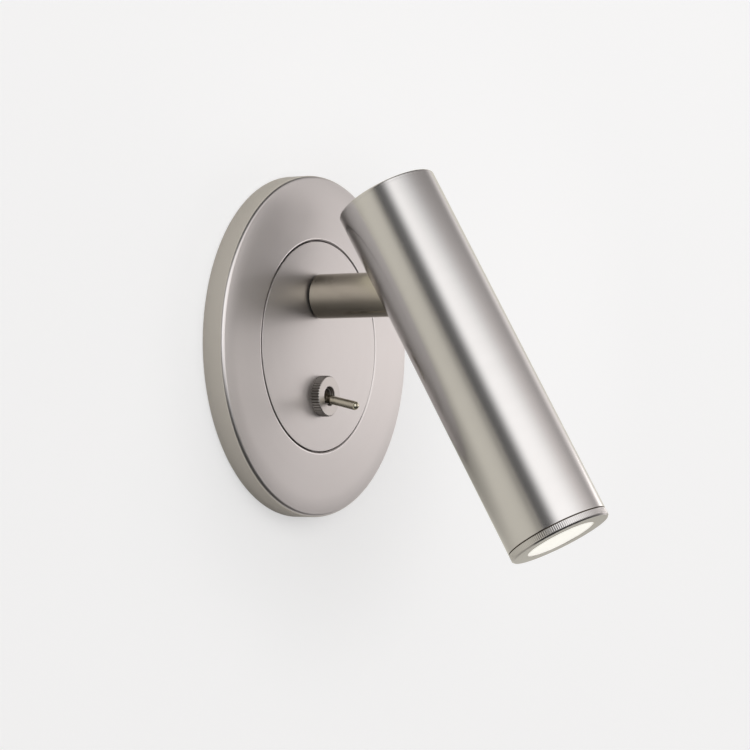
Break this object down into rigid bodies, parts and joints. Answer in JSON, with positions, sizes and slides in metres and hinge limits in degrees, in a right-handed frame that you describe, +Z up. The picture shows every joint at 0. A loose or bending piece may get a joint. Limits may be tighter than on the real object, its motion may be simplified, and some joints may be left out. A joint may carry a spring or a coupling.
{
  "type": "tube wall light",
  "caption": "Wall reading light: a tilting tube head on a short swivel arm, over a round wall plate with a toggle switch.",
  "frame": {"origin": "middle of the round wall plate, on the wall: the centre of the bracket's back face", "axes": "+Y into the wall (the light stands out along -Y), +Z up, +X to the right of someone who faces the wall"},
  "size_m": [0.115, 0.1245, 0.129],
  "materials": {
    "plate_nickel": "satin",
    "tube_nickel": "satin",
    "arm_nickel": "satin",
    "switch_nickel": "polished",
    "zinc_steel": "satin",
    "knuckle_steel": "satin",
    "green_screw": "satin",
    "yellow_brass": "satin",
    "black_nylon": "matte",
    "black_case": "matte",
    "white_block": "matte",
    "bare_aluminium": "satin",
    "board_white": "matte",
    "chip_yellow": "gloss",
    "reflector_bright": "polished",
    "gasket_rubber": "matte",
    "lens_opal": "matte"
  },
  "bodies": {
    "base": {"block_screws": "zinc_steel", "centre_plate": "plate_nickel", "driver_case": "black_case", "driver_screws": "zinc_steel", "friction_washer": "black_nylon", "ground_screw": "green_screw", "knurled_nut": "switch_nickel", "plate_screws": "zinc_steel", "rim_screws": "zinc_steel", "stop_pin": "zinc_steel", "switch_back_nut": "zinc_steel", "switch_body": "black_nylon", "switch_bushing": "switch_nickel", "switch_lock_washer": "zinc_steel", "switch_terminals": "yellow_brass", "swivel_bush": "black_nylon", "terminal_block": "white_block", "terminal_clamps": "yellow_brass", "trim_plate": "plate_nickel", "wall_bracket": "zinc_steel"},
    "arm": {"arm_tube": "arm_nickel", "arm_root_plug": "yellow_brass", "arm_stem": "yellow_brass", "stop_washer": "zinc_steel", "spring_washer": "zinc_steel", "arm_lock_nut": "zinc_steel", "tilt_knuckle": "knuckle_steel"},
    "head": {"head_tube": "tube_nickel", "end_cap": "tube_nickel", "pivot_carrier": "bare_aluminium", "carrier_screws": "zinc_steel", "pivot_bolt": "zinc_steel", "pivot_nut": "zinc_steel", "tilt_washers": "black_nylon", "pillars": "zinc_steel", "heat_sink": "bare_aluminium", "led_board": "board_white", "led_chip": "chip_yellow", "board_screws": "zinc_steel", "reflector": "reflector_bright", "lens_gasket": "gasket_rubber", "front_lens": "lens_opal", "bezel_ring": "tube_nickel"},
    "lever": {"toggle_lever": "switch_nickel"}
  },
  "joints": [
    {"name": "arm_swivel", "type": "hinge", "parent": "base", "child": "arm", "pos_m": [0, -0.0082, 0.0168], "axis": [0, 1, 0], "range_deg": [-165, 165]},
    {"name": "head_tilt", "type": "hinge", "parent": "arm", "child": "head", "pos_m": [0, -0.0535, 0.0168], "axis": [-1, 0, 0], "range_deg": [-28.7, 21.3]},
    {"name": "switch_lever", "type": "hinge", "parent": "base", "child": "lever", "pos_m": [0, -0.0065, -0.0168], "axis": [-1, 0, 0], "range_deg": [0, 25]}
  ]
}
